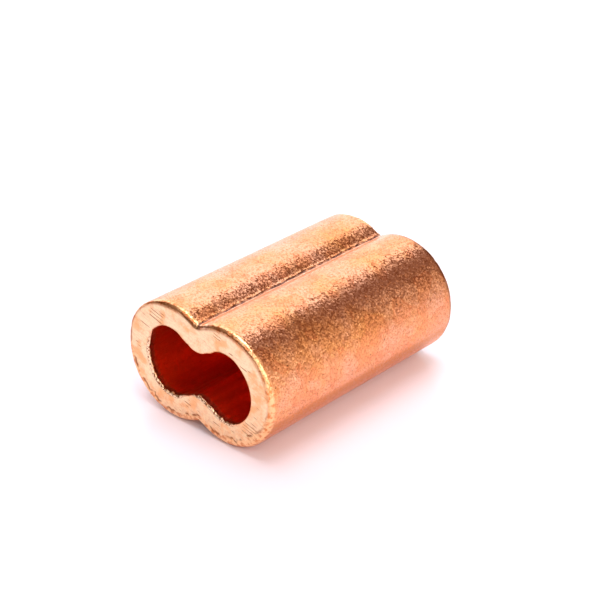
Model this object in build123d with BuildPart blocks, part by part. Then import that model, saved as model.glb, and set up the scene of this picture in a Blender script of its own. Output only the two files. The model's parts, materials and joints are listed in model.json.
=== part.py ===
from build123d import *
import os
from math import atan2, degrees, sqrt

# Hourglass swage sleeve of copper, for closing an eye in 1/4 in wire rope.
#
# The sleeve is one piece of metal.  It is a length of seamless copper tube that was drawn
# through an hourglass die, so that it holds the two legs of a rope loop side by side.  It was
# then sawn to length and tumbled, which rounds the outer rims and leaves the bore's rims sharp.
#
# Frame, in millimetres: the two bores run along Y and lie side by side along X, and Z is up
# when the sleeve lies on its two lobes.  The origin is the middle of the sleeve, half-way
# between the two bores and half-way between the two sawn ends.

# Driving dimensions.
rope_diameter = 6.35        # 1/4 in wire rope
rope_clearance = 0.65       # on the diameter, so that the two legs slide in by hand
wall = 2.5                  # round each lobe
lobe_spacing = 6.5          # between the axes of the two bores
sleeve_length = 26.0        # between the two sawn ends
groove_radius = 1.0         # bottom of the groove between the lobes, outside
nose_radius = 1.5           # ridge between the two bores, inside
rim_radius = 0.4            # tumbled outer rims
crease_width = 0.2          # fine V that the die leaves along the bottom of each groove
crease_depth = 0.15

# Worked out from them.
bore_radius = (rope_diameter + rope_clearance) / 2
lobe_radius = bore_radius + wall
lobe_offset = lobe_spacing / 2


def neck_centre_height(radius, neck_radius):
    """How far from the middle a neck arc has its centre, where it touches both lobes."""
    return sqrt((radius + neck_radius) ** 2 - lobe_offset**2)


def hourglass(radius, neck_radius):
    """Adds an hourglass face to the sketch: two lobes, joined by a neck arc above and below."""
    neck_height = neck_centre_height(radius, neck_radius)
    slope = degrees(atan2(neck_height, lobe_offset))
    with BuildLine() as outline:
        CenterArc((lobe_offset, 0), radius, 0, 180 - slope)
        CenterArc((0, neck_height), neck_radius, -90, 90 - slope)
        mirror(about=Plane.YZ)
        mirror(about=Plane.XZ)
    make_face(outline.edges())


def creases():
    """Adds the two V-shaped creases to the sketch, one in the bottom of each groove."""
    groove_bottom = neck_centre_height(lobe_radius, groove_radius) - groove_radius
    with BuildLine() as notch:
        Polyline(
            (-crease_width / 2, groove_bottom + crease_depth),
            (-crease_width / 2, groove_bottom),
            (0, groove_bottom - crease_depth),
            (crease_width / 2, groove_bottom),
            (crease_width / 2, groove_bottom + crease_depth),
            close=True,
        )
    make_face(notch.edges())
    mirror(about=Plane.XZ)


# The sleeve: the drawn outside, its rounded rims, the two creases, and then the double bore.
with BuildPart() as sleeve:
    with BuildSketch(Plane.XZ):
        hourglass(lobe_radius, groove_radius)
    extrude(amount=sleeve_length / 2, both=True)
    sawn_ends = sleeve.faces().filter_by(Axis.Y)
    fillet(sawn_ends.edges(), radius=rim_radius)
    with BuildSketch(Plane.XZ):
        creases()
    extrude(amount=sleeve_length / 2, both=True, mode=Mode.SUBTRACT)
    with BuildSketch(Plane.XZ):
        hourglass(bore_radius, nose_radius)
    extrude(amount=sleeve_length / 2, both=True, mode=Mode.SUBTRACT)

sleeve.part.label = "sleeve"

os.makedirs("parts", exist_ok=True)
export_step(sleeve.part, "parts/sleeve.step")
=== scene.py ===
import json
import math

import bpy
import numpy as np
from mathutils import Matrix, Vector, noise


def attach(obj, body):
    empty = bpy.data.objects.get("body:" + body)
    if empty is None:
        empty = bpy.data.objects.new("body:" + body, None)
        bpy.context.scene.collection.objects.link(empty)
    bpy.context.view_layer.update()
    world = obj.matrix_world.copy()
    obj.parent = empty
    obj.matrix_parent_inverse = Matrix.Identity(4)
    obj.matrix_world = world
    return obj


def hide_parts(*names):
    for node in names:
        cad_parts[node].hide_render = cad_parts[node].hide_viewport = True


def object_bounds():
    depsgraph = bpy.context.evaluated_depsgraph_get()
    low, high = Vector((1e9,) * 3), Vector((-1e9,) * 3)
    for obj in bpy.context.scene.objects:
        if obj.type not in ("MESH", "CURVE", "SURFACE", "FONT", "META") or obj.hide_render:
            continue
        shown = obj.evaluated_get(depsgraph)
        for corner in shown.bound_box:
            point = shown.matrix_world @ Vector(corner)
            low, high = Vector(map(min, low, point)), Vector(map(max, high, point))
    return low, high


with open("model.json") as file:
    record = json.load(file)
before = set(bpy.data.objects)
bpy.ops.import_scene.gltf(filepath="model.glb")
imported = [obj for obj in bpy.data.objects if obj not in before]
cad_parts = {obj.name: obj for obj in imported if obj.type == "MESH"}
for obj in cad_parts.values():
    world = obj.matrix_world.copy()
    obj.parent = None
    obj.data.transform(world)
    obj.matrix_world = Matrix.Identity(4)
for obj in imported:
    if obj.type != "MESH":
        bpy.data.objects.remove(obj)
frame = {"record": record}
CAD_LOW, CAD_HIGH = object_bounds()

# A copper hourglass sleeve, lying on a white table in a small photo studio.  The sleeve is one
# fine mesh that is built here in millimetres, in the CAD's frame, and scaled to metres at the
# end: the two bores run along Y, beside each other along X, and the camera's end is at -Y.

MM = 0.001
SEED = 11
SAW_TILT = math.radians(-14)


# ---------------------------------------------------------------- sizes, from the frame

def record_mount(name):
    """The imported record's mount of that name."""
    return next(m for m in frame["record"]["mounts"] if m["name"] == name)


# The lobes' and bores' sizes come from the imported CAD.  The frame doesn't carry the small radii,
# so those repeat the CAD's own driving dimensions.
HALF_LENGTH = CAD_HIGH.y / MM
LOBE_RADIUS = CAD_HIGH.z / MM
LOBE_OFFSET = CAD_HIGH.x / MM - LOBE_RADIUS
BORE_RADIUS = record_mount("rope_leg_b")["dims"]["r_mm"]
GROOVE_RADIUS = 1.0
NOSE_RADIUS = 1.5
RIM_RADIUS = 0.4

# The sawn bore edge where it has no burr, and how much slower a worn rim turns in its middle.
BORE_RIM_RADIUS = 0.05
RIM_FLATNESS = 0.5

# How far down the bore a burr sinks back into its wall.
BURR_LENGTH = 1.3

# Marks that run along the upper groove, as distances from the middle line towards +X: the die's hollow, a
# painted highlight beside the crease, a redder line and a paler strip.
DIE_MARK_AT = -0.58
CREASE_HIGHLIGHT_AT = 0.20
REDDENED_AT = 0.47
PALE_AT = 1.05

# How tightly the skin's grain is set, the pitch of the saw's deep scores, and the burr's crumbs.
GRAIN_CELL = 0.135
SCORE_PITCH = 0.36
CRUMB_SIZE = 0.20

# How finely the mesh is divided: round a quarter of the outline, and along the wall's section.
LOBE_STEPS = 90
NECK_STEPS = 25
WALL_STEPS = 98
RIM_STEPS = 8
FACE_STEPS = 21
BORE_RIM_STEPS = 8
BORE_STEPS = 40


# ---------------------------------------------------------------- small helpers for shapes

def grain(points, size, offset=0.0):
    """Smooth noise between about -1 and 1 at each point, with features of that size in mm."""
    size = np.broadcast_to(np.array(size, float), 3)
    flat = (points / size).reshape(-1, 3) + offset
    values = [noise.noise(Vector(point)) for point in flat]
    return np.array(values).reshape(points.shape[:-1])


def along_only(size):
    """Noise sizes for a pattern that changes along the sleeve and hardly at all across it."""
    across = 50.0
    return (across, size, across)


def smooth_step(low, high, value):
    """0 below low, 1 above high, and an eased slope between them."""
    part = np.clip((value - low) / (high - low), 0, 1)
    return part * part * (3 - 2 * part)


def bump_at(distance, width):
    """A round bump of height 1 that has gone at about twice its width."""
    return np.exp(-((distance / width) ** 2))


# ---------------------------------------------------------------- the hourglass outline

def quarter_outline(radius, neck_radius):
    """Points and outward normals from a lobe's end to the middle of the neck, both included.

    The lobe's arc takes LOBE_STEPS and the neck's arc NECK_STEPS, whatever the radii are, so
    that the outline and the bore's outline match point for point.
    """
    neck_height = math.sqrt((radius + neck_radius) ** 2 - LOBE_OFFSET**2)
    slope = math.atan2(neck_height, LOBE_OFFSET)
    lobe = np.linspace(0, math.pi - slope, LOBE_STEPS, endpoint=False)
    lobe_normal = np.stack([np.cos(lobe), np.sin(lobe)], 1)
    lobe_point = lobe_normal * radius + [LOBE_OFFSET, 0]
    neck = np.linspace(slope, math.pi / 2, NECK_STEPS + 1)
    neck_normal = np.stack([-np.cos(neck), np.sin(neck)], 1)
    neck_point = [0, neck_height] - neck_normal * neck_radius
    return np.vstack([lobe_point, neck_point]), np.vstack([lobe_normal, neck_normal])


def whole_outline(quarter):
    """Goes right round from the +X lobe's end, mirroring one quarter into all four."""
    there = quarter[:-1]
    back = quarter[:0:-1]
    return np.vstack([there, back * [-1, 1], there * [-1, -1], back * [1, -1]])


def drawn_bore(points, normals):
    """The bore's outline as the mandrel left it: a little fuller over each lobe's crown, tighter
    where a lobe runs into the nose, with the noses' tips cut back, and nearer the middle at the
    end of the -X lobe."""
    reach = np.abs(points[:, 0])
    nose_side = 1.65
    crown = 4.3
    tight = 0.20 * bump_at(reach - nose_side, 0.6)
    full = 0.12 * bump_at(reach - crown, 1.1)
    nose = 0.05 * bump_at(reach, 0.5)
    off_centre = 0.24 * smooth_step(-5.6, -6.6, points[:, 0])
    return points - normals * (tight - full - nose + off_centre)[:, None]


OUTER_QUARTER, OUTER_NORMAL_QUARTER = quarter_outline(LOBE_RADIUS, GROOVE_RADIUS)
INNER_QUARTER, INNER_NORMAL_QUARTER = quarter_outline(BORE_RADIUS, NOSE_RADIUS)
OUTER = whole_outline(OUTER_QUARTER)
OUTER_NORMAL = whole_outline(OUTER_NORMAL_QUARTER)
INNER_NORMAL = whole_outline(INNER_NORMAL_QUARTER)
INNER = drawn_bore(whole_outline(INNER_QUARTER), INNER_NORMAL)
COUNT = len(OUTER)
SIDE = np.linalg.norm(np.roll(INNER, -1, 0) - INNER, axis=1)
BORE_EDGE_LENGTH = np.cumsum(SIDE) - SIDE


# ---------------------------------------------------------------- the two sawn ends

def burr_strength(end):
    """How much burr there is round the bore's edge: it stands where the blade broke out."""
    exit_side = np.array([-0.72, -0.69]) if end < 0 else np.array([0.85, 0.53])
    strength = smooth_step(0.0, 0.6, INNER_NORMAL @ exit_side)
    return strength if end < 0 else 0.7 * strength


def rolled_edge(end):
    """How far the saw rolled the bore's edge: out over the face, into the bore, and deep."""
    strength = burr_strength(end)
    along_edge = np.stack([np.zeros(COUNT), BORE_EDGE_LENGTH, np.zeros(COUNT)], -1)
    ragged = grain(along_edge, 0.5, 2.9 * end) + 0.8 * grain(along_edge, 0.24, 1.2 * end)
    coarse = grain(along_edge, 1.9, 6.7 * end)
    out = BORE_RIM_RADIUS + strength * (0.08 + 0.04 * ragged + 0.04 * coarse)
    inward = strength * np.clip(0.12 + 0.12 * ragged + 0.04 * coarse, 0.01, 0.35)
    deep = BORE_RIM_RADIUS + strength * (0.14 + 0.05 * coarse)
    return out[:, None], inward[:, None], deep[:, None]


def rim_profile():
    """How a worn rim turns: for each step, its angle, and how far it has come in and along.

    It turns fastest at both ends and slowest in the middle, as a tumbled corner does.
    """
    part = np.linspace(0, 1, RIM_STEPS + 1)
    turn = math.pi / 2 * (part + RIM_FLATNESS / math.tau * np.sin(math.tau * part))
    middle = (turn[1:] + turn[:-1]) / 2
    inwards = np.concatenate([[0], np.cumsum(np.sin(middle))]) / np.sin(middle).sum()
    along = np.concatenate([[0], np.cumsum(np.cos(middle))]) / np.cos(middle).sum()
    return list(zip(turn, inwards, along))[:-1]


def rim_width(end):
    """The worn rim's width at each point of the outline: narrow over the -X lobe's shoulder."""
    shoulder = smooth_step(-3.5, -6.5, OUTER[:, 0]) * smooth_step(0.0, 3.0, OUTER[:, 1])
    place = np.stack([OUTER[:, 0], np.full(COUNT, end * HALF_LENGTH), OUTER[:, 1]], -1)
    return (RIM_RADIUS * (1.1 - 0.55 * shoulder + 0.14 * grain(place, 2.4, 8.1)))[:, None]


def end_rings(end):
    """Rings over one end, from the wall's edge to the bore's: region, place, y and normal."""
    rim = rim_width(end)
    face_edge = OUTER - OUTER_NORMAL * rim
    out, inward, deep = rolled_edge(end)
    bore_edge = INNER + INNER_NORMAL * out
    rings = []
    for turn, inwards, along in rim_profile():
        flat = OUTER - OUTER_NORMAL * rim * inwards
        y = HALF_LENGTH - rim * (1 - along)
        rings.append(("rim", flat, y, OUTER_NORMAL * math.cos(turn), math.sin(turn)))
    for step in range(FACE_STEPS):
        part = step / FACE_STEPS
        share = 0.35 * part + 0.65 * (1 - (1 - part) ** 1.5)
        flat = face_edge * (1 - share) + bore_edge * share
        rings.append(("face", flat, HALF_LENGTH, 0 * OUTER_NORMAL, 1))
    for step in range(BORE_RIM_STEPS + 1):
        turn = math.pi / 2 * step / BORE_RIM_STEPS
        flat = bore_edge - INNER_NORMAL * (out + inward) * math.sin(turn)
        y = HALF_LENGTH - deep * (1 - math.cos(turn))
        rings.append(("bore_rim", flat, y, -INNER_NORMAL * math.sin(turn), math.cos(turn)))
    return [(region, flat, end * y, across, end * along) for region, flat, y, across, along in rings]


# ---------------------------------------------------------------- the whole wall

def wall_rings():
    """Rings along the outside, between the two rims."""
    front = -HALF_LENGTH + rim_width(-1)
    back = HALF_LENGTH - rim_width(1)
    rings = []
    for step in range(1, WALL_STEPS):
        part = step / WALL_STEPS
        rings.append(("wall", OUTER, front * (1 - part) + back * part, OUTER_NORMAL, 0))
    return rings


def bore_rings():
    """Rings along the bore from the back to the front: the burrs sink back into its wall."""
    _, inward_back, deep_back = rolled_edge(1)
    _, inward_front, deep_front = rolled_edge(-1)
    back = HALF_LENGTH - deep_back
    front = -HALF_LENGTH + deep_front
    rings = []
    for step in range(1, BORE_STEPS):
        part = step / BORE_STEPS
        y = back * (1 - part) + front * part
        push_back = inward_back * smooth_step(BURR_LENGTH, 0, back - y)
        push_front = inward_front * smooth_step(BURR_LENGTH, 0, y - front)
        push = push_back + push_front
        rings.append(("bore", INNER - INNER_NORMAL * push, y, -INNER_NORMAL, 0))
    return rings


def assembled_rings():
    """All rings, once round the section: regions, and arrays of points and of normals."""
    rings = wall_rings() + end_rings(1) + bore_rings() + end_rings(-1)[::-1]
    points = []
    normals = []
    for _, flat, y, across, along in rings:
        level = np.broadcast_to(y, (COUNT, 1))
        points.append(np.hstack([flat[:, :1], level, flat[:, 1:]]))
        slope = np.broadcast_to(float(along), (COUNT, 1))
        normals.append(np.hstack([across[:, :1], slope, across[:, 1:]]))
    return np.array([ring[0] for ring in rings]), np.array(points), np.array(normals)


REGION, POINTS, NORMALS = assembled_rings()


def is_region(*names):
    """1 on the rings of those regions, 0 elsewhere, shaped to spread over a ring's points."""
    return np.isin(REGION, names).astype(float)[:, None]


# ---------------------------------------------------------------- what use and making did to it, and the painted shade and highlights

def drawn_surface(points):
    """Shallow waves and lengthwise draw lines: always inwards, so the size never grows."""
    waves = 0.018 * (grain(points, 4.0, 3.1) - 1)
    lines = 0.005 * (grain(points, (0.35, 18.0, 0.35), 9.7) - 1)
    hammer = 0.003 * (grain(points, 0.8, 5.3) - 1)
    return waves + lines + hammer


def tumbling_dings(points, random):
    """Small round dents from other sleeves in the tumbler."""
    depth = np.zeros(points.shape[:2])
    for _ in range(60):
        ring = random.integers(0, WALL_STEPS)
        place = points[ring, random.integers(0, COUNT)]
        radius = random.uniform(0.25, 0.7)
        distance = np.linalg.norm(points - place, axis=-1)
        depth -= random.uniform(0.003, 0.012) * bump_at(distance, radius)
    return depth


def die_mark(points):
    """The shallow hollow that the die pressed along the -X lobe beside the groove above it."""
    above = points[..., 2] > 0
    return 0.065 * above * bump_at(points[..., 0] - DIE_MARK_AT, 0.95)


def crease(points):
    """The fine V that the die leaves in the bottom of each groove, ragged along its length."""
    slow = 0.05 * grain(points, along_only(1.6), 1.7)
    middle = slow - 0.04 + 0.10 * grain(points, along_only(0.5), 4.6)
    depth = 0.07 + 0.06 * grain(points, along_only(0.5), 6.1)
    half_width = 0.19 + 0.08 * grain(points, along_only(0.35), 3.4)
    return depth * np.clip(1 - np.abs(points[..., 0] - middle) / half_width, 0, 1)


def rim_wear(points):
    """Nicks and flats that tumbling leaves along the outer rims."""
    nicks = smooth_step(0.3, 0.7, grain(points, 0.6, 8.8))
    return -0.035 * nicks - 0.015 * (1 + grain(points, 1.3, 2.2))


def rolled_width(end):
    """How far tumbling rolled the rim's metal in over the face: least over the lobes' tops, and
    most, and most raggedly, along the bottom."""
    place = np.stack([OUTER[:, 0], np.full(COUNT, end * HALF_LENGTH), OUTER[:, 1]], -1)
    # The extra width along the bottom also carries painted shade in the rim's darker orange.
    low = smooth_step(0.1, -0.6, OUTER_NORMAL[:, 1])
    ragged = 0.8 * grain(place, 0.9, 3.9) + 0.5 * grain(place, 0.35, 7.7)
    return rim_width(end)[:, 0] + 0.05 * ragged + low * np.clip(0.42 + 0.35 * ragged, 0.1, 0.9)


def from_roll(points):
    """How far each point on an end lies inside the edge of the rolled metal, in mm."""
    from_outside = np.linalg.norm(points[..., [0, 2]] - OUTER, axis=-1)
    return from_outside - np.where(points[..., 1] < 0, rolled_width(-1), rolled_width(1))


def rim_fold(points):
    """The step at the rolled metal's edge, painted dark as shade and a dark reflection: nearly unbroken
    above, torn into dashes below.
    """
    high = smooth_step(-0.45, 0.25, OUTER_NORMAL[:, 1] + 0.5 * OUTER_NORMAL[:, 0])
    unbroken = smooth_step(-0.75, -0.1, grain(points, 1.3, 6.6) + 0.3 * grain(points, 0.3, 1.1))
    unbroken = unbroken * (1 - 0.5 * smooth_step(0.6, 0.95, OUTER_NORMAL[:, 0]))
    dashes = smooth_step(-0.1, 0.15, grain(points, 0.9, 4.1))
    return (0.4 * high * unbroken + (1 - high) * dashes) * bump_at(from_roll(points), 0.105)


def face_patch(x, z, radius):
    """1 near a place on the front face, as seen from in front, and likewise on the back face."""
    side = np.where(POINTS[..., 1] < 0, 1, -1)
    return bump_at(np.hypot(side * POINTS[..., 0] - x, POINTS[..., 2] - z), radius)


def deep_scores():
    """Where the saw scored the faces most: beside the bore's lower corner and over one lobe, and
    less beside a nose, beside a groove and at one side."""
    beside_bore = face_patch(0.75 * LOBE_RADIUS + LOBE_OFFSET - 1.0, -0.55 * LOBE_RADIUS, 1.3)
    over_lobe = face_patch(-LOBE_OFFSET - 2.0, 0.68 * LOBE_RADIUS, 1.2)
    by_nose = face_patch(-1.3, -0.6 * LOBE_RADIUS, 0.7)
    by_groove = face_patch(2.6, 0.83 * LOBE_RADIUS, 0.8)
    at_side = face_patch(-LOBE_OFFSET - 0.8 * LOBE_RADIUS, 0.0, 0.7)
    return beside_bore + 0.85 * over_lobe + 0.7 * (by_nose + by_groove + at_side)


def saw_direction(points):
    """Coordinates on an end face, turned so that the first runs along the saw's cut."""
    along = points[..., 0] * math.cos(SAW_TILT) + points[..., 2] * math.sin(SAW_TILT)
    across = points[..., 2] * math.cos(SAW_TILT) - points[..., 0] * math.sin(SAW_TILT)
    return np.stack([along, points[..., 1], across], -1)


def saw_marks(points):
    """Ridges that the blade leaves on an end face."""
    turned = saw_direction(points)
    return 0.012 * (grain(turned, (4.0, 4.0, 0.35), 4.4) - 1) + 0.01 * (grain(points, 1.5, 0.7) - 1)


def torn_burr(points):
    """Pits and crumbs along the rolled edge."""
    return 0.06 * grain(points, 0.42, 5.9) + 0.05 * grain(points, 0.2, 7.3)


def from_burr(points):
    """How far each point on an end lies outside the burr's outer edge, in mm."""
    to_bore = np.linalg.norm(points[..., [0, 2]] - INNER, axis=-1)
    front, back = (rolled_edge(end)[0][:, 0] for end in (-1, 1))
    return to_bore - np.where(points[..., 1] < 0, front, back)


def round_the_edge(end):
    """The burr's strength, on the rings of that end only."""
    return burr_strength(end)[None] * (POINTS[..., 1] * end > 0)


CREASE = crease(POINTS)
RIM_STEP = rim_fold(POINTS) * is_region("rim", "face")
BURRED = round_the_edge(-1) + round_the_edge(1)


def worn_points():
    """The sleeve's points in mm, after it was drawn, sawn and tumbled."""
    random = np.random.default_rng(SEED)
    skin = drawn_surface(POINTS) + tumbling_dings(POINTS, random) - die_mark(POINTS) - CREASE
    push = is_region("wall", "rim") * skin
    push += is_region("rim") * rim_wear(POINTS)
    push += is_region("face") * saw_marks(POINTS)
    push += is_region("bore_rim") * BURRED * torn_burr(POINTS) - 0.04 * RIM_STEP
    push += is_region("bore") * 0.01 * grain(POINTS, (0.5, 14.0, 0.5), 1.3)
    return POINTS + NORMALS * push[..., None]


def material_masks():
    """For each point, how much of each kind of surface, and of painted shade and highlight, the material
    shows there.
    """
    outside = is_region("wall", "rim")
    face = is_region("face")
    edge = is_region("bore_rim")
    across = POINTS[..., 0]
    height = POINTS[..., 2]
    # How dark the crease's painted shade and oxide are, along its length.
    crease_darkness = np.clip(0.85 + 1.1 * grain(POINTS, along_only(0.6), 2.6), 0.05, 0.95)
    rolled = smooth_step(0.04, -0.04, from_roll(POINTS))
    # Partly worn metal and partly painted shade: each face turns oranger and darker towards its bottom,
    # where it reflects the shadowed table.
    worn = 0.30 * smooth_step(2.0, 0.2, from_roll(POINTS)) * smooth_step(1.0, -4.0, height)
    # Painted shade: the wall turns darker orange low down, where it reflects the shadowed table, and a
    # little less so at the very bottom.
    lower_shade_strip = smooth_step(-1.2, -2.1, height) * (1 - 0.6 * smooth_step(-2.6, -3.3, height))
    lip = smooth_step(0.25, 0.65, np.abs(NORMALS[..., 1]))
    # Painted shade along the face just outside the burr.
    shade_under_burr = 0.8 * face * bump_at(from_burr(POINTS) - 0.02, 0.06)
    masks = {
        "sawn": face,
        "bored": is_region("bore"),
        # dark: painted shade in the crease, with dark oxide.
        "dark": outside * crease_darkness * smooth_step(0.01, 0.05, CREASE),
        # fold: painted shade and dark reflection along the rolled metal's edge.
        "fold": np.clip(RIM_STEP, 0, 1),
        # rolled: the rims and the rolled metal over the faces, with painted shade towards each face's
        # bottom.
        "rolled": np.clip(is_region("rim") + face * (rolled + worn), 0, 1),
        # Painted dark reflection on the back rim towards +X.
        "back_rim_dark_reflection": is_region("rim") * smooth_step(-1.0, 1.5, across) * (POINTS[..., 1] > 0),
        "scored": face * deep_scores(),
        "lower_shade": outside * lower_shade_strip,
        # A painted highlight beside the crease, and a wider paler strip.
        "highlight_and_pale": outside * (bump_at(across - CREASE_HIGHLIGHT_AT, 0.12) + 0.5 * bump_at(across - PALE_AT, 0.45)),
        "reddened": outside * bump_at(across - REDDENED_AT, 0.08),
        "burr": BURRED * edge * lip,
        # torn: the burr's inner side in brown, and painted shade on the face just outside the burr.
        "torn": BURRED * (edge * (1 - lip) + shade_under_burr),
    }
    return {name: values * np.ones(POINTS.shape[:2]) for name, values in masks.items()}


def grid_faces(rings, count):
    """Quads between each ring and the next, closed both ways."""
    ring, place = np.meshgrid(np.arange(rings), np.arange(count), indexing="ij")
    next_ring = (ring + 1) % rings
    next_place = (place + 1) % count
    corners = [
        ring * count + place,
        next_ring * count + place,
        next_ring * count + next_place,
        ring * count + next_place,
    ]
    return np.stack(corners, -1).reshape(-1, 4)


def build_sleeve():
    """The sleeve's mesh object, with its masks as point attributes."""
    points = worn_points()
    rings, count = points.shape[:2]
    mesh = bpy.data.meshes.new("copper_sleeve")
    faces = grid_faces(rings, count)
    mesh.from_pydata((points * MM).reshape(-1, 3).tolist(), [], faces.tolist())
    for name, values in material_masks().items():
        attribute = mesh.attributes.new(name, "FLOAT", "POINT")
        attribute.data.foreach_set("value", values.astype(np.float32).ravel())
    mesh.polygons.foreach_set("use_smooth", [True] * len(mesh.polygons))
    mesh.update()
    sleeve = bpy.data.objects.new("copper_sleeve", mesh)
    bpy.context.collection.objects.link(sleeve)
    return sleeve


# ---------------------------------------------------------------- node helpers

def add_node(tree, kind, inputs=None, **settings):
    """Adds a node, sets its properties, and sets or links each named input."""
    made = tree.nodes.new(kind)
    for name, value in settings.items():
        setattr(made, name, value)
    for name, value in (inputs or {}).items():
        socket = made.inputs[name]
        if isinstance(value, bpy.types.NodeSocket):
            tree.links.new(value, socket)
        else:
            socket.default_value = value
    return made


def noise_value(tree, vector, size_mm, detail=2.0, roughness=0.5):
    """Procedural noise from 0 to 1 with features of that size in mm."""
    inputs = {"Vector": vector, "Scale": 1 / (size_mm * MM), "Detail": detail, "Roughness": roughness}
    return add_node(tree, "ShaderNodeTexNoise", inputs).outputs["Fac"]


def stretched(tree, vector, scale, turn=(0, 0, 0)):
    """The coordinates turned and then scaled, for noise that runs in lines."""
    turned = add_node(tree, "ShaderNodeVectorRotate", {"Vector": vector, "Rotation": turn},
                      rotation_type="EULER_XYZ").outputs["Vector"]
    inputs = {0: turned, 1: scale}
    return add_node(tree, "ShaderNodeVectorMath", inputs, operation="MULTIPLY").outputs["Vector"]


def ranged(tree, value, low, high, to_low=0.0, to_high=1.0):
    """Eases a value from one range to another, and holds it at the ends."""
    inputs = {"Value": value, "From Min": low, "From Max": high, "To Min": to_low, "To Max": to_high}
    return add_node(tree, "ShaderNodeMapRange", inputs, interpolation_type="SMOOTHSTEP").outputs["Result"]


def arithmetic(tree, operation, first, second=0.0):
    """One sum on one or two values."""
    return add_node(tree, "ShaderNodeMath", {0: first, 1: second}, operation=operation).outputs["Value"]


def total(tree, *values):
    """Several values added up."""
    result = values[0]
    for value in values[1:]:
        result = arithmetic(tree, "ADD", result, value)
    return result


def product(tree, *values):
    """Several values multiplied together."""
    result = values[0]
    for value in values[1:]:
        result = arithmetic(tree, "MULTIPLY", result, value)
    return result


def blended(tree, factor, first, second):
    """A colour between two colours."""
    made = add_node(tree, "ShaderNodeMix", data_type="RGBA")
    sockets = [made.inputs[0]] + [socket for socket in made.inputs if socket.type == "RGBA"]
    for socket, value in zip(sockets, (factor, first, second)):
        if isinstance(value, bpy.types.NodeSocket):
            tree.links.new(value, socket)
        else:
            socket.default_value = value
    return next(socket for socket in made.outputs if socket.type == "RGBA")


def mask_value(tree, name):
    """One of the mesh's point attributes."""
    return add_node(tree, "ShaderNodeAttribute", attribute_name=name).outputs["Fac"]


# ---------------------------------------------------------------- materials

# The outside.
PINK_COPPER = (0.98, 0.48, 0.29, 1)
OCHRE = (0.97, 0.41, 0.15, 1)
STAIN = (0.93, 0.33, 0.16, 1)
STAIN_EDGE = (0.84, 0.22, 0.09, 1)
OXIDE = (0.55, 0.16, 0.05, 1)
BROWN = (0.11, 0.032, 0.012, 1)
# Painted shade low on the wall.
LOWER_SHADE_ORANGE = (0.67, 0.225, 0.055, 1)
# The painted highlight beside the crease, and the paler strip.
HIGHLIGHT_AND_PALE_PINK = (0.99, 0.72, 0.56, 1)
REDDISH = (0.95, 0.33, 0.20, 1)
# Painted shade in the creases, with dark oxide.
CREASE_SHADE_AND_OXIDE = (0.16, 0.075, 0.06, 1)

# The sawn ends and the worn rims.
FRESH_COPPER = (0.99, 0.77, 0.50, 1)
FRESH_ORANGE = (0.98, 0.53, 0.25, 1)
FRESH_SHADE = (0.85, 0.36, 0.15, 1)
SCRATCH = (0.48, 0.18, 0.08, 1)
WORN_ORANGE = (0.99, 0.60, 0.31, 1)
WORN_BROWN = (0.70, 0.22, 0.07, 1)
# Painted dark reflection on the back rim.
DARK_REFLECTION_BROWN = (0.38, 0.12, 0.05, 1)
# Painted shade and dark reflection along the fold at the rolled metal's edge.
FOLD_SHADE_BROWN = (0.30, 0.065, 0.012, 1)

# The bore and its burr.
# The bore's red is painted, for the colour that light takes on after several bounces inside it.
BORE_RED = (0.91, 0.082, 0.010, 1)
BORE_STREAK = (0.79, 0.066, 0.008, 1)
BURR_CREAM = (0.99, 0.80, 0.55, 1)
TORN_BROWN = (0.30, 0.09, 0.03, 1)


def layered(tree, colour, layers):
    """A colour with each (factor, tint) of the layers blended over it in turn."""
    for factor, tint in layers:
        colour = blended(tree, factor, colour, tint)
    return colour


def outside_colour(tree, place, shade):
    """Pinkish copper with ochre clouds and reddish-edged stains, a random shade on each grain,
    and small flecks and rare pits."""
    cloud = noise_value(tree, place, 5.0, 4.0, 0.6)
    stain = noise_value(tree, place, 2.6, 1.5, 0.5)
    fleck = noise_value(tree, place, 0.16, 1.0, 0.5)
    pit = noise_value(tree, place, 0.30, 0.0)
    stain_level = 0.57
    from_edge = arithmetic(tree, "ABSOLUTE", arithmetic(tree, "SUBTRACT", stain, stain_level))
    return layered(tree, PINK_COPPER, [
        (ranged(tree, cloud, 0.36, 0.66), OCHRE),
        (ranged(tree, stain, stain_level - 0.01, stain_level + 0.01, 0.0, 0.40), STAIN),
        (ranged(tree, from_edge, 0.022, 0.004, 0.0, 0.40), STAIN_EDGE),
        (ranged(tree, shade, 0.35, 1.0, 0.0, 0.62), OXIDE),
        (ranged(tree, fleck, 0.55, 0.70, 0.0, 0.60), OXIDE),
        (ranged(tree, pit, 0.83, 0.86, 0.0, 0.9), BROWN),
    ])


def sawn_colour(tree, place, scratch, shade):
    """Bright fresh copper, oranger in soft patches, with a fine grain and the saw's scratches."""
    patch = noise_value(tree, place, 1.6, 3.0, 0.6)
    return layered(tree, FRESH_COPPER, [
        (ranged(tree, patch, 0.44, 0.66), FRESH_ORANGE),
        (ranged(tree, shade, 0.3, 1.0, 0.0, 0.22), FRESH_SHADE),
        (scratch, SCRATCH),
    ])


def rolled_colour(tree, place):
    """Worn orange copper, mottled darker, where tumbling rolled the rims over."""
    mottle = noise_value(tree, place, 0.45, 2.0, 0.6)
    return blended(tree, ranged(tree, mottle, 0.44, 0.62), WORN_ORANGE, WORN_BROWN)


def bore_colour(tree, place):
    """Painted deep red for the light that leaves it only after several bounces, in lengthwise streaks."""
    streak = noise_value(tree, stretched(tree, place, (1.0, 0.05, 1.0)), 0.7, 3.0, 0.6)
    return blended(tree, ranged(tree, streak, 0.35, 0.7), BORE_RED, BORE_STREAK)


def fine_saw_lines(tree, place):
    """The fine lines that the saw left all over the end faces."""
    along = stretched(tree, place, (0.06, 0.3, 1.0), (0, SAW_TILT, 0))
    return noise_value(tree, along, 0.07, 3.0, 0.6)


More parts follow.
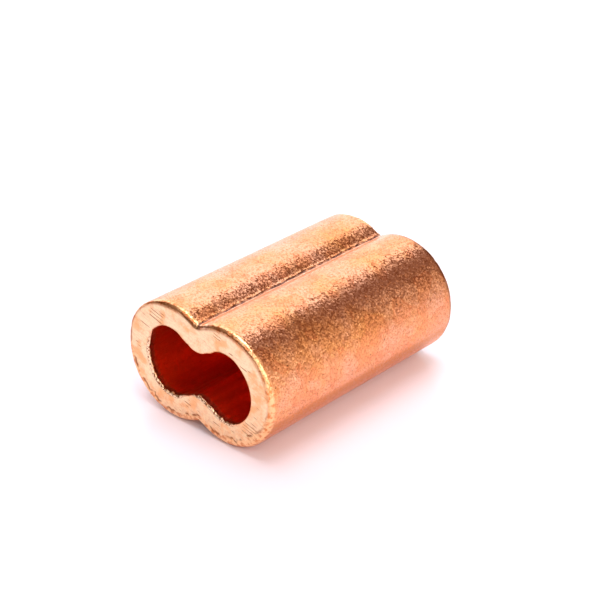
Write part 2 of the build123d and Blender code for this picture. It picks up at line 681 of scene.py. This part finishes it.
def scored_lines(tree, place):
    """Dark scratches along the saw's cut: a few long ones anywhere, and close sets of parallel
    ones where the mesh says that the face is scored."""
    along = stretched(tree, place, (0.08, 0.3, 1.0), (0, SAW_TILT, 0))
    lone = ranged(tree, noise_value(tree, along, 0.17, 0.0), 0.755, 0.80)
    across = add_node(tree, "ShaderNodeSeparateXYZ", {"Vector": along}).outputs["Z"]
    wander = noise_value(tree, along, 1.2, 1.0)
    phase = total(tree, product(tree, across, math.tau / (SCORE_PITCH * MM)), product(tree, wander, 9.0))
    comb = ranged(tree, arithmetic(tree, "SINE", phase), 0.60, 0.92)
    broken = ranged(tree, noise_value(tree, along, 0.25, 0.0), 0.40, 0.50)
    scored = ranged(tree, mask_value(tree, "scored"), 0.42, 0.55)
    return arithmetic(tree, "MAXIMUM", lone, product(tree, comb, broken, scored))


def crystal_grain(tree, place):
    """The tumbled skin's fine grain: each small cell has a random tilt and a random shade."""
    inputs = {"Vector": place, "Scale": 1 / (GRAIN_CELL * MM)}
    cells = add_node(tree, "ShaderNodeTexVoronoi", inputs).outputs["Color"]
    inputs = {0: cells, 1: (0.5, 0.5, 0.5)}
    tilt = add_node(tree, "ShaderNodeVectorMath", inputs, operation="SUBTRACT").outputs["Vector"]
    shade = add_node(tree, "ShaderNodeSeparateColor", {"Color": cells}).outputs["Red"]
    return tilt, shade


def tilted_normal(tree, tilt, strength):
    """The surface's own normal, leant over by a random tilt."""
    own = add_node(tree, "ShaderNodeNewGeometry").outputs["Normal"]
    scaled = add_node(tree, "ShaderNodeVectorMath", {0: tilt, "Scale": strength}, operation="SCALE")
    inputs = {0: own, 1: scaled.outputs["Vector"]}
    leant = add_node(tree, "ShaderNodeVectorMath", inputs, operation="ADD").outputs["Vector"]
    return add_node(tree, "ShaderNodeVectorMath", {0: leant}, operation="NORMALIZE").outputs["Vector"]


def copper_colour(tree, place, scratch, shade):
    """The outside's colour, and over it the sawn ends, the rims, the bore, the burr, and painted shade,
    dark reflections and highlights.
    """
    crumb = noise_value(tree, place, CRUMB_SIZE, 1.0, 0.6)
    burr = mask_value(tree, "burr")
    return layered(tree, outside_colour(tree, place, shade), [
        (product(tree, mask_value(tree, "lower_shade"), 0.9), LOWER_SHADE_ORANGE),
        (mask_value(tree, "sawn"), sawn_colour(tree, place, scratch, shade)),
        (product(tree, mask_value(tree, "rolled"), 0.8), rolled_colour(tree, place)),
        (product(tree, mask_value(tree, "back_rim_dark_reflection"), 0.75), DARK_REFLECTION_BROWN),
        (product(tree, mask_value(tree, "highlight_and_pale"), 0.95), HIGHLIGHT_AND_PALE_PINK),
        (product(tree, mask_value(tree, "reddened"), 0.6), REDDISH),
        (mask_value(tree, "fold"), FOLD_SHADE_BROWN),
        (mask_value(tree, "bored"), bore_colour(tree, place)),
        (product(tree, mask_value(tree, "torn"), 0.8), TORN_BROWN),
        (product(tree, burr, 0.8), BURR_CREAM),
        (product(tree, burr, ranged(tree, crumb, 0.52, 0.58)), TORN_BROWN),
        (mask_value(tree, "dark"), CREASE_SHADE_AND_OXIDE),
    ])


def copper_roughness(tree, place):
    """Satin all over, and rougher on the sawn ends and in the bore."""
    cloud = noise_value(tree, place, 2.0, 2.0, 0.5)
    sawn = product(tree, mask_value(tree, "sawn"), 0.12)
    bored = product(tree, mask_value(tree, "bored"), 0.14)
    return total(tree, ranged(tree, cloud, 0.3, 0.7, 0.276, 0.30), sawn, bored)


def copper_normal(tree, place, fine_line, scores, tilt):
    """Each grain of the skin leans its own way, under faint bumps, draw lines and saw lines."""
    sawn = mask_value(tree, "sawn")
    not_sawn = arithmetic(tree, "SUBTRACT", 1.0, sawn)
    draw_line = noise_value(tree, stretched(tree, place, (1.0, 0.05, 1.0)), 0.2)
    height = total(
        tree,
        product(tree, noise_value(tree, place, 0.22, 1.0, 0.4), not_sawn, 0.009),
        product(tree, noise_value(tree, place, 0.8, 1.0, 0.5), 0.004),
        product(tree, draw_line, not_sawn, 0.003),
        product(tree, fine_line, sawn, 0.010),
        product(tree, scores, sawn, -0.03),
    )
    lean = total(tree, product(tree, not_sawn, 0.24), product(tree, mask_value(tree, "rolled"), -0.08))
    leant = tilted_normal(tree, tilt, lean)
    inputs = {"Height": height, "Strength": 1.0, "Distance": MM, "Normal": leant}
    return add_node(tree, "ShaderNodeBump", inputs).outputs["Normal"]


def copper_material():
    """Tumbled copper: grainy drawn outside, paler sawn ends, a bore painted dark red for its bounced light,
    and creases with painted shade.
    """
    material = bpy.data.materials.new("tumbled_copper")
    material.use_nodes = True
    tree = material.node_tree
    shader = tree.nodes["Principled BSDF"]
    place = add_node(tree, "ShaderNodeTexCoord").outputs["Object"]
    fine_line = fine_saw_lines(tree, place)
    scores = scored_lines(tree, place)
    scratch = total(tree, ranged(tree, fine_line, 0.48, 0.80, 0.0, 0.36), product(tree, scores, 0.85))
    tilt, shade = crystal_grain(tree, place)
    tree.links.new(copper_colour(tree, place, scratch, shade), shader.inputs["Base Color"])
    tree.links.new(copper_roughness(tree, place), shader.inputs["Roughness"])
    tree.links.new(copper_normal(tree, place, fine_line, scores, tilt), shader.inputs["Normal"])
    shader.inputs["Metallic"].default_value = 1.0
    return material


def table_material():
    """White acrylic table top, with a soft sheen that takes a little of the copper's colour."""
    material = bpy.data.materials.new("white_table")
    material.use_nodes = True
    shader = material.node_tree.nodes["Principled BSDF"]
    shader.inputs["Base Color"].default_value = (0.90, 0.825, 0.92, 1)
    shader.inputs["Roughness"].default_value = 0.3
    return material


# ---------------------------------------------------------------- the studio

# Each is azimuth, elevation, half width, half height and softness of its edge, in degrees, and
# its colour.  Azimuth 0 is -Y, the camera's end, and 90 is +X.  Later ones lie over earlier ones.
# The one at elevation 90 is a disc straight overhead, and the darkest ones are flags.
ROOM = (0.27, 0.15, 0.08, 1)
SOFT_BOXES = [
    (234, 0, 40, 75, 3, (1.64, 1.60, 1.62, 1)),
    (75, 0, 52, 34, 8, (1.95, 1.92, 1.84, 1)),
    (80, 40, 30, 14, 6, (2.95, 2.90, 2.60, 1)),
    (131, 0, 13, 66, 6, (0.78, 0.64, 0.50, 1)),
    (169, 0, 25, 72, 3, (0.15, 0.04, 0.01, 1)),
    (182, 0, 14, 22, 5, (0.62, 0.60, 0.46, 1)),
    (320, 0, 48, 36, 6, (0.15, 0.07, 0.04, 1)),
    (0, 90, 200, 20, 8, (4.75, 4.95, 5.10, 1)),
    (10, 45, 42, 5, 3, (2.90, 2.80, 2.70, 1)),
]


def direction(azimuth, elevation):
    """A direction from the sleeve, from its azimuth and elevation in degrees."""
    turn = math.radians(azimuth)
    rise = math.radians(elevation)
    return Vector((math.sin(turn) * math.cos(rise), -math.cos(turn) * math.cos(rise), math.sin(rise)))


def box_edge(tree, angle, half_size, soft):
    """1 inside a box's half size and 0 outside it, with a soft edge, from an angle in radians."""
    size = arithmetic(tree, "ABSOLUTE", angle)
    return ranged(tree, size, math.radians(half_size + soft), math.radians(half_size - soft))


def inside_box(tree, ray, azimuth, elevation, half_width, half_height, soft):
    """1 where a ray meets a soft box that spans those angles."""
    parts = []
    for axis in (direction(azimuth + 90, 0), direction(azimuth, 0), Vector((0, 0, 1))):
        part = add_node(tree, "ShaderNodeVectorMath", {0: ray, 1: axis}, operation="DOT_PRODUCT")
        parts.append(part.outputs["Value"])
    across = arithmetic(tree, "ARCTAN2", parts[0], parts[1])
    rise = arithmetic(tree, "ARCSINE", parts[2])
    upwards = arithmetic(tree, "SUBTRACT", rise, math.radians(elevation))
    within_width = box_edge(tree, across, half_width, soft)
    within_height = box_edge(tree, upwards, half_height, soft)
    return product(tree, within_width, within_height)


def studio_world():
    """Soft boxes and dark flags round the sleeve.  The camera itself sees plain white."""
    world = bpy.data.worlds.new("studio")
    bpy.context.scene.world = world
    world.use_nodes = True
    tree = world.node_tree
    ray = add_node(tree, "ShaderNodeTexCoord").outputs["Generated"]
    colour = ROOM
    for azimuth, elevation, half_width, half_height, soft, tint in SOFT_BOXES:
        inside = inside_box(tree, ray, azimuth, elevation, half_width, half_height, soft)
        colour = blended(tree, inside, colour, tint)
    seen = add_node(tree, "ShaderNodeLightPath").outputs["Is Camera Ray"]
    colour = blended(tree, seen, colour, (1.0, 1.0, 1.0, 1))
    tree.links.new(colour, tree.nodes["Background"].inputs["Color"])


TABLE_HALF_SIZE = 1.5


def build_table():
    """A plain table top, level with the sleeve's lowest line."""
    half = TABLE_HALF_SIZE
    z = CAD_LOW.z
    corners = [(-half, -half, z), (half, -half, z), (half, half, z), (-half, half, z)]
    mesh = bpy.data.meshes.new("table")
    mesh.from_pydata(corners, [], [(0, 1, 2, 3)])
    table = bpy.data.objects.new("table", mesh)
    table.data.materials.append(table_material())
    bpy.context.collection.objects.link(table)


# The camera's direction from the sleeve and its roll, in degrees, and its place in lobe radii:
# back along that direction, and then a little right and up.
CAMERA_AZIMUTH = 41.86
CAMERA_PITCH = 28.44
CAMERA_ROLL = 0.97
CAMERA_BACK = 26.353
CAMERA_RIGHT = 0.0973
CAMERA_UP = 0.3879
CAMERA_LENS = 98.99
CAMERA_SENSOR = 36.0


def build_camera():
    """Looks at the sleeve from its right front, a little above, through a long lens."""
    azimuth = math.radians(CAMERA_AZIMUTH)
    pitch = math.radians(CAMERA_PITCH)
    roll = math.radians(CAMERA_ROLL)
    across = math.sin(azimuth) * math.cos(pitch)
    behind = -math.cos(azimuth) * math.cos(pitch)
    back = Vector((across, behind, math.sin(pitch)))
    level = Vector((math.cos(azimuth), math.sin(azimuth), 0))
    right = math.cos(roll) * level + math.sin(roll) * back.cross(level)
    up = back.cross(right)
    place = (CAMERA_BACK * back + CAMERA_RIGHT * right + CAMERA_UP * up) * CAD_HIGH.z
    camera = bpy.data.objects.new("camera", bpy.data.cameras.new("camera"))
    camera.data.sensor_width = CAMERA_SENSOR
    camera.data.lens = CAMERA_LENS
    camera.data.clip_start = 0.01
    turn = Matrix((right, up, back)).transposed()
    camera.matrix_world = Matrix.Translation(place) @ turn.to_4x4()
    bpy.context.collection.objects.link(camera)
    bpy.context.scene.camera = camera


# ---------------------------------------------------------------- put together

sleeve = build_sleeve()
sleeve.data.materials.append(copper_material())
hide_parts("sleeve")
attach(sleeve, "root")

build_table()
studio_world()
build_camera()
bpy.context.scene.view_settings.view_transform = "Standard"
